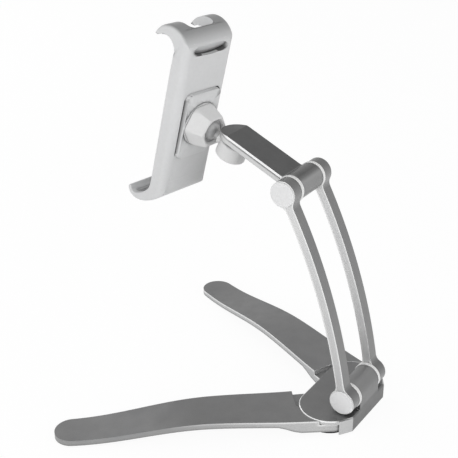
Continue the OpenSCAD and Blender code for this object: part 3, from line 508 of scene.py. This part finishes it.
def keep_modifiers(piece):
    """Makes what the modifiers show the piece's own mesh."""
    made = bpy.data.meshes.new_from_object(piece.evaluated_get(bpy.context.evaluated_depsgraph_get()))
    piece.modifiers.clear()
    piece.data = made


def prism(outline, low, high, place):
    """A closed solid from an outline, drawn from low to high; place(a, b, h) gives a point in the frame."""
    verts = [place(a, b, h) for h in (low, high) for a, b in outline]
    return new_object("prism", verts, ring_faces(len(outline), 2))


def carve(body, tool, operation):
    """Cuts, joins or crosses two solids, and leaves the result in the first."""
    modifier = body.modifiers.new("carve", "BOOLEAN")
    modifier.operation = operation
    modifier.solver = "EXACT"
    modifier.object = tool
    keep_modifiers(body)
    bpy.data.objects.remove(tool)


def arc(centre, radius, start, end, steps):
    turns = [math.radians(start + (end - start) * i / steps) for i in range(steps + 1)]
    return [(centre[0] + radius * math.cos(t), centre[1] + radius * math.sin(t)) for t in turns]


def smooth_line(points, steps):
    """A line that runs smoothly through the points, with so many steps from each to the next."""

    def between(p, q, r, s, t):
        bend = (2 * p - 5 * q + 4 * r - s) * t**2 + (3 * q - p - 3 * r + s) * t**3
        return 0.5 * (2 * q + (r - p) * t + bend)

    ends = [points[0], *points, points[-1]]
    line = []
    for a, b, c, d in zip(ends, ends[1:], ends[2:], ends[3:]):
        line += [tuple(between(*four, i / steps) for four in zip(a, b, c, d)) for i in range(steps)]
    return [*line, points[-1]]


def inset(outline, depth):
    """The outline drawn in by depth, along the bisector at each point."""
    after_each = outline[1:] + outline[:1]
    area = sum(a[0] * b[1] - b[0] * a[1] for a, b in zip(outline, after_each))
    depth = math.copysign(depth, depth * area)
    drawn = []
    for a, b, c in zip(outline[-1:] + outline[:-1], outline, after_each):
        before = Vector((b[0] - a[0], b[1] - a[1])).normalized()
        after = Vector((c[0] - b[0], c[1] - b[1])).normalized()
        ahead = (before + after).normalized()
        drawn.append((b[0] - depth * ahead.y, b[1] + depth * ahead.x))
    return drawn


def rounded_slab(name, outline, half, rounding):
    """An outline, in the clip's millimetres, drawn across a width with its two end edges rounded."""
    steps = 5
    turns = [math.pi / 2 * i / steps for i in range(steps + 1)]
    near = [(half - rounding + rounding * math.sin(t), rounding * (1 - math.cos(t))) for t in turns]
    stations = [(-x, depth) for x, depth in reversed(near)] + near
    verts = [on_clip(x, a, b) for x, depth in stations for a, b in inset(outline, depth)]
    return new_object(name, verts, ring_faces(len(outline), len(stations)))


def worn(piece, finish, slot, body, *nodes):
    """Gives a new piece its finish and body, and hides the nodes that it stands for. The slot argument is not
    used.

    Each corner is shaded by its larger faces, so that flats stay flat beside their rounded edges.
    """
    piece.modifiers.new("flatten", "WEIGHTED_NORMAL").keep_sharp = True
    keep_modifiers(piece)
    dress(piece.data, finish)
    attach(piece, body)
    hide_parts(*nodes)


# Coil springs that pull the two jaws together
WIRE = 0.45 * MM
COIL_RADIUS = 2.5 * MM
EYE_RADIUS = 1.6 * MM
COIL_TURNS = 62
EYE_INSET = 2.1 * MM


def spring_path(foot, head):
    """An extension spring: an eye, close turns and another eye, all in one wire."""
    steps = 16
    axis = (head - foot).normalized()
    right = axis.orthogonal().normalized()
    front = axis.cross(right)

    def eye(centre, way):
        turns = [0.86 * 2 * math.pi * i / steps + 0.5 for i in range(steps + 1)]
        return [centre + EYE_RADIUS * (math.sin(t) * front + way * math.cos(t) * axis) for t in turns]

    eye_height = EYE_RADIUS + WIRE
    start = foot + axis * eye_height
    length = (head - foot).length - 2 * eye_height
    coil = []
    count = COIL_TURNS * steps
    for i in range(count + 1):
        turn = 2 * math.pi * i / steps
        grow = min(1.0, i / steps, (count - i) / steps)
        reach = EYE_RADIUS + (COIL_RADIUS - EYE_RADIUS) * grow
        around = math.cos(turn) * right + math.sin(turn) * front
        coil.append(start + axis * (length * i / count) + reach * around)
    return eye(foot, -1) + coil + eye(head, 1)


def tube(name, points):
    """A closed wire along a path of points."""
    sides = 8
    verts = []
    across = (points[1] - points[0]).orthogonal()
    for before, p, after in zip(points[:1] + points[:-1], points, points[1:] + points[-1:]):
        ahead = (after - before).normalized()
        across = (across - ahead * across.dot(ahead)).normalized()
        other = ahead.cross(across)
        for k in range(sides):
            turn = 2 * math.pi * k / sides
            verts.append(p + WIRE * (math.cos(turn) * across + math.sin(turn) * other))
    faces = ring_faces(sides, len(points))
    faces[0] = faces[0][::-1]
    mesh = bpy.data.meshes.new(name)
    mesh.from_pydata(verts, [], faces)
    for polygon in mesh.polygons:
        polygon.use_smooth = len(polygon.vertices) == 4
    return add_object(name, mesh)


spring_mesh = frame["nodes"]["jaw_springs"].data
for side, name in ((-1, "left_jaw_spring"), (1, "right_jaw_spring")):
    points = [v.co for v in spring_mesh.vertices if v.co.x * side > 0]
    middle = sum(points, Vector()) / len(points)
    reach = [(p - middle).dot(RISE) for p in points]
    foot = middle + RISE * (min(reach) + EYE_INSET)
    head = middle + RISE * (max(reach) - EYE_INSET)
    spring = tube(name, spring_path(foot, head))
    dress(spring.data, "steel")
    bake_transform(spring)
    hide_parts("jaw_springs")

# The clip's shell above the parting line. All lengths down to the lock nut are in the clip's millimetres
PARTING = -48.02
SHELL_BACK = -12.07
SHELL_FRONT = -26.07
HALF_WIDTH = 25.5
EDGE = 7
FLAT_HALF = HALF_WIDTH - EDGE
PLATE_FLOOR = -10
PLATE_HALF = 15.5
PLATE_SLANT = 0.4
PANEL_BACK = -12.06
PANEL_TOP = -22
PANEL_GAP = 0.17

shell = copy_of("clip_body", "clip_shell")
tidy(shell.data, (on_clip(0, 0, PARTING), -RISE))
for vertex in shell.data.vertices:
    place = (vertex.co - BALL) / MM
    x, y, z = place.dot(ACROSS), place.dot(BACK), place.dot(RISE)
    if y > PLATE_FLOOR and abs(x) > PLATE_HALF:
        # The raised mount plate's walls slant inwards
        vertex.co -= ACROSS * math.copysign(PLATE_SLANT * (abs(x) - PLATE_HALF), x) * MM
    elif abs(y - PANEL_BACK) < 0.02 and abs(abs(x) - FLAT_HALF) < 0.01 and z < PANEL_TOP:
        # The lower panel meets the rounded edge with no hairline
        vertex.co += ACROSS * math.copysign(PANEL_GAP, x) * MM
worn(shell, "clip_block", "clip_plastic", "clip", "clip_body")

# The lower jaw, with a round heel, a thin floor and a soft lip, as (out of the back, up)
HEEL = [
    (SHELL_BACK, -44), (SHELL_BACK, -53.5), (-12.6, -57.3), (-14.4, -61), (-17.3, -64.4), (-20.9, -67.5),
    (-25.1, -70.4), (-29.6, -73), (-34.4, -74.8), (-39, -75.4), (-43, -74.7), (-45.9, -73), (-47.7, -70.6),
]
LIP = [(-48.1, -68.9), (-47.8, -67.9), (-47.1, -67.3), (-46.2, -67.3), (-45.6, -68)]
FLOOR = [
    (-44.9, -69.3), (-43, -70.7), (-40.4, -70.9), (-37.9, -70.1), (-35.1, -68.4), (-32.3, -66.2),
    (-29.7, -63.5), (-27.7, -60.6), (-26.5, -57.4), (SHELL_FRONT, -53.5), (SHELL_FRONT, -44),
]
PAD_HALF = 21.5
PAD_THICK = 0.9

jaw = rounded_slab("lower_jaw", smooth_line(HEEL + LIP + FLOOR, 4), HALF_WIDTH, 1.0)
section = [
    *arc((FLAT_HALF, SHELL_BACK - EDGE), EDGE, 0, 90, 36),
    *arc((-FLAT_HALF, SHELL_BACK - EDGE), EDGE, 90, 180, 36),
    (-HALF_WIDTH - 0.01, -60),
    (HALF_WIDTH + 0.01, -60),
]
carve(jaw, prism(section, -80, -40, on_clip), "INTERSECT")
tidy(jaw.data, (on_clip(0, 0, PARTING), RISE))
worn(jaw, "clip", "clip_plastic", "clip", "clip_body")

bed = [p for p in smooth_line(FLOOR, 4) if -44 < p[0] < -27.4 and p[1] < -59]
pad_top = inset([*bed, (-30, -20)], -PAD_THICK)[: len(bed)]
pad = rounded_slab("jaw_pad", bed + pad_top[::-1], PAD_HALF, 0.3)
worn(pad, "grey", "rubber_grey", "clip", "lower_jaw_pad")

# The upper jaw: its thumb hollow is filled, and a flatter and deeper one is cut
CREST = (-30.07, 56.5)
CREST_RADIUS = 18
HOLLOW_HALF = 18.2
HOLLOW_LEVEL = 60.6
HOLLOW_BELOW = 4.6
HOLLOW_ABOVE = 4.2
HOLLOW_DEPTH = 4.6
HOLLOW_START = 6


def hollow_outline():
    steps = 24
    turns = [math.pi * i / steps for i in range(steps + 1)]
    half, level = HOLLOW_HALF, HOLLOW_LEVEL
    below = [(half * math.cos(t), level - HOLLOW_BELOW * math.sin(t) ** 0.9) for t in turns]
    above = [(-half * math.cos(t), level + HOLLOW_ABOVE * math.sin(t)) for t in turns[1:-1]]
    return below + above


def hollow_place(x, z, depth):
    """The hollow is drawn in less at its upper side, so that it fades into the crest."""
    deep = max(0.0, min(1.0, (66.5 - z) / 9.5))
    y = SHELL_BACK + HOLLOW_START - depth * (HOLLOW_START + HOLLOW_DEPTH * deep)
    return on_clip(x * (1 - 0.04 * depth), y, z)


upper = copy_of("upper_jaw", "upper_jaw_shell")
plug = [(SHELL_BACK - 0.03, 54), *arc(CREST, CREST_RADIUS - 0.06, 0, 46, 48), (-24, 66), (-21, 54)]
carve(upper, prism(plug, -FLAT_HALF, FLAT_HALF, lambda a, b, h: on_clip(h, a, b)), "UNION")
carve(upper, prism(hollow_outline(), 0, 1, hollow_place), "DIFFERENCE")
tidy(upper.data)
worn(upper, "clip_jaw", "clip_plastic", "jaw", "upper_jaw")

# The lock nut: a round foot that runs into six soft facets, drawn as rings from its foot round to its bore
NUT_LOW = -8.57
NUT_HIGH = 6.2
NUT_LIP = 4.0
NUT_FOOT, NUT_FOOT_TAPER = 16.9, 1.2
NUT_FLAT, NUT_FLAT_TAPER = 15.6, 4.0
NUT_BLEND = 0.25
NUT_TURNS = [2 * math.pi * i / 96 for i in range(96)]
NUT_SIDE = [
    (0.0, 0.0, NUT_LOW),
    *((i / 14, 0.0, NUT_LOW + 0.2 + (NUT_HIGH - 0.9 - NUT_LOW) * i / 14) for i in range(15)),
    (1.0, 0.35, NUT_HIGH - 0.35),
    (1.0, 0.9, NUT_HIGH),
]
NUT_BORE = [
    (10.6, NUT_HIGH - 0.1), (10.1, NUT_HIGH - 0.6), (9.0, NUT_LIP), (9.0, NUT_LIP - 0.4),
    (10.95, NUT_LIP - 0.4), (10.95, NUT_LOW),
]


def nut_radius(turn, share):
    """The smaller of the foot's and the facets' radius, blended softly, at a share of the nut's height."""
    facets = [math.radians(27 + 60 * k) for k in range(6)]
    corner = sum(max(0.0, math.cos(turn - facet)) ** 60 for facet in facets) ** (-1 / 60)
    foot = NUT_FOOT - NUT_FOOT_TAPER * share
    hexagon = (NUT_FLAT - NUT_FLAT_TAPER * share) * corner
    return -math.log(math.exp(-foot / NUT_BLEND) + math.exp(-hexagon / NUT_BLEND)) * NUT_BLEND


rings = [([nut_radius(t, share) - back for t in NUT_TURNS], height) for share, back, height in NUT_SIDE]
rings += [([radius] * len(NUT_TURNS), height) for radius, height in NUT_BORE]
verts = []
for radii, height in rings:
    verts += [on_clip(r * math.cos(t), height, r * math.sin(t)) for r, t in zip(radii, NUT_TURNS)]
nut = new_object("soft_lock_nut", verts, ring_faces(len(NUT_TURNS), len(rings), closed=True))
worn(nut, "pale_plastic", "white_plastic", "nut", "lock_nut")

# White collars that lap over the ends of the two hinge barrels; the section is (along the axis, radius) in mm
COLLAR = [
    (14.3, 10.05), (14.3, 10.45), (14.6, 10.6), (16.75, 10.6), (17.05, 10.3), (17.05, 9.6), (15.35, 9.6),
    (15.35, 10.05),
]
COLLAR_STEPS = 96
COLLAR_OPEN_HALF = math.radians(24)


def collar(name, centre, side, body, open_half=0.0):
    """A band about a hinge's axis, open over a part below where it would meet the base."""
    span = 2 * math.pi - 2 * open_half
    count = COLLAR_STEPS + 1 if open_half else COLLAR_STEPS
    verts = []
    for i in range(count):
        turn = -math.pi / 2 + open_half + span * i / COLLAR_STEPS
        up, rear = math.sin(turn), math.cos(turn)
        verts += [centre + MM * Vector((side * x, r * rear, r * up)) for x, r in COLLAR]
    piece = new_object(name, verts, ring_faces(len(COLLAR), count, closed=not open_half))
    dress(piece.data, "bush")
    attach(piece, body)


for side, word in ((-1, "left"), (1, "right")):
    collar(word + "_lower_collar", LOWER_HINGE, side, "base", COLLAR_OPEN_HALF)
    collar(word + "_upper_collar", UPPER_HINGE, side, "link")

# The camera, as fitted to the photograph: place in metres, angles in degrees, focal length in pixels
CAMERA_PLACE = (0.598, 0.2748, 0.472)
CAMERA_AZIMUTH, CAMERA_ELEVATION = 123.27, 25.93
PHOTO_WIDTH, FOCAL_LENGTH = 458, 1025.55


def look_matrix(place, azimuth, elevation):
    a, e = math.radians(azimuth), math.radians(elevation)
    back = Vector((math.sin(a) * math.cos(e), -math.cos(a) * math.cos(e), math.sin(e)))
    right = Vector((math.cos(a), math.sin(a), 0))
    up = back.cross(right)
    rows = [(right[i], up[i], back[i], place[i]) for i in range(3)]
    return Matrix((*rows, (0, 0, 0, 1)))


camera = bpy.data.cameras.new("camera")
camera.sensor_width = 36
camera.lens = FOCAL_LENGTH / PHOTO_WIDTH * camera.sensor_width
camera.clip_end = 50
camera_object = add_object("camera", camera)
camera_object.matrix_world = look_matrix(CAMERA_PLACE, CAMERA_AZIMUTH, CAMERA_ELEVATION)
bpy.context.scene.camera = camera_object

# A white floor and room
FLOOR_HALF = 4
FLOOR_LEVEL = -0.2 * MM
FLOOR_GREY = (0.92, 0.92, 0.92, 1)
WHITE = (1, 1, 1, 1)
GLOW_STRENGTH = 1.06
GLOW_SHARE = 0.87
SKY_AT_HORIZON, SKY_AT_TOP = 1.0, 0.2


def seen_directly(tree):
    """1 for camera, glossy and transmission rays, which see the plain white background."""
    path = tree.nodes.new("ShaderNodeLightPath")
    total = path.outputs["Is Camera Ray"]
    for name in ("Is Glossy Ray", "Is Transmission Ray"):
        add = tree.nodes.new("ShaderNodeMath")
        add.operation = "MAXIMUM"
        tree.links.new(total, add.inputs[0])
        tree.links.new(path.outputs[name], add.inputs[1])
        total = add.outputs[0]
    return total


def floor_material():
    """White to the eye and in reflections, with a share of plain diffuse floor that keeps the shadow."""
    material = bpy.data.materials.new("floor")
    material.use_nodes = True
    tree = material.node_tree
    tree.nodes.clear()
    out = tree.nodes.new("ShaderNodeOutputMaterial")
    mix = tree.nodes.new("ShaderNodeMixShader")
    plain = tree.nodes.new("ShaderNodeBsdfDiffuse")
    plain.inputs["Color"].default_value = FLOOR_GREY
    glow = tree.nodes.new("ShaderNodeEmission")
    glow.inputs["Color"].default_value = WHITE
    glow.inputs["Strength"].default_value = GLOW_STRENGTH
    share = tree.nodes.new("ShaderNodeMath")
    share.operation = "MULTIPLY"
    share.inputs[1].default_value = GLOW_SHARE
    tree.links.new(seen_directly(tree), share.inputs[0])
    tree.links.new(share.outputs[0], mix.inputs[0])
    tree.links.new(plain.outputs[0], mix.inputs[1])
    tree.links.new(glow.outputs[0], mix.inputs[2])
    tree.links.new(mix.outputs[0], out.inputs["Surface"])
    return material


floor_mesh = bpy.data.meshes.new("floor")
quarters = ((-1, -1), (1, -1), (1, 1), (-1, 1))
floor_corners = [(x * FLOOR_HALF, y * FLOOR_HALF, FLOOR_LEVEL) for x, y in quarters]
floor_mesh.from_pydata(floor_corners, [], [(0, 1, 2, 3)])
floor_mesh.materials.append(floor_material())
floor = add_object("floor", floor_mesh)

world = bpy.data.worlds.new("studio")
bpy.context.scene.world = world
world.use_nodes = True
tree = world.node_tree
background = tree.nodes["Background"]
background.inputs["Color"].default_value = WHITE
direction = tree.nodes.new("ShaderNodeTexCoord")
height = tree.nodes.new("ShaderNodeSeparateXYZ")
sky = tree.nodes.new("ShaderNodeMapRange")
sky.inputs["To Min"].default_value = SKY_AT_HORIZON
sky.inputs["To Max"].default_value = SKY_AT_TOP
tree.links.new(direction.outputs["Generated"], height.inputs[0])
tree.links.new(height.outputs["Z"], sky.inputs["Value"])
tree.links.new(sky.outputs["Result"], background.inputs["Strength"])
white = tree.nodes.new("ShaderNodeBackground")
white.inputs["Color"].default_value = WHITE
mixer = tree.nodes.new("ShaderNodeMixShader")
tree.links.new(seen_directly(tree), mixer.inputs[0])
tree.links.new(background.outputs[0], mixer.inputs[1])
tree.links.new(white.outputs[0], mixer.inputs[2])
tree.links.new(mixer.outputs[0], tree.nodes["World Output"].inputs["Surface"])

# Square lamps: place, the point each looks at, its width in metres and its watts
LAMPS = {
    "key": ((1.3, -0.35, 0.55), (0, -0.06, 0.13), 1.1, 3.6),
    "low": ((1.2, -0.1, 0.1), (0, -0.06, 0.05), 0.9, 0.9),
    "fill": ((-0.4, -1.3, 0.7), (0, -0.06, 0.12), 0.9, 1.5),
    "back": ((0.3, 1.3, 0.35), (0, -0.06, 0.15), 0.9, 4),
}
for name, (place, target, size, watts) in LAMPS.items():
    data = bpy.data.lights.new(name, "AREA")
    data.shape = "SQUARE"
    data.size = size
    data.energy = watts
    holder = add_object(name, data)
    holder.location = place
    holder.rotation_mode = "QUATERNION"
    holder.rotation_quaternion = (Vector(target) - Vector(place)).to_track_quat("-Z", "Y")

bpy.context.scene.view_settings.view_transform = "Standard"
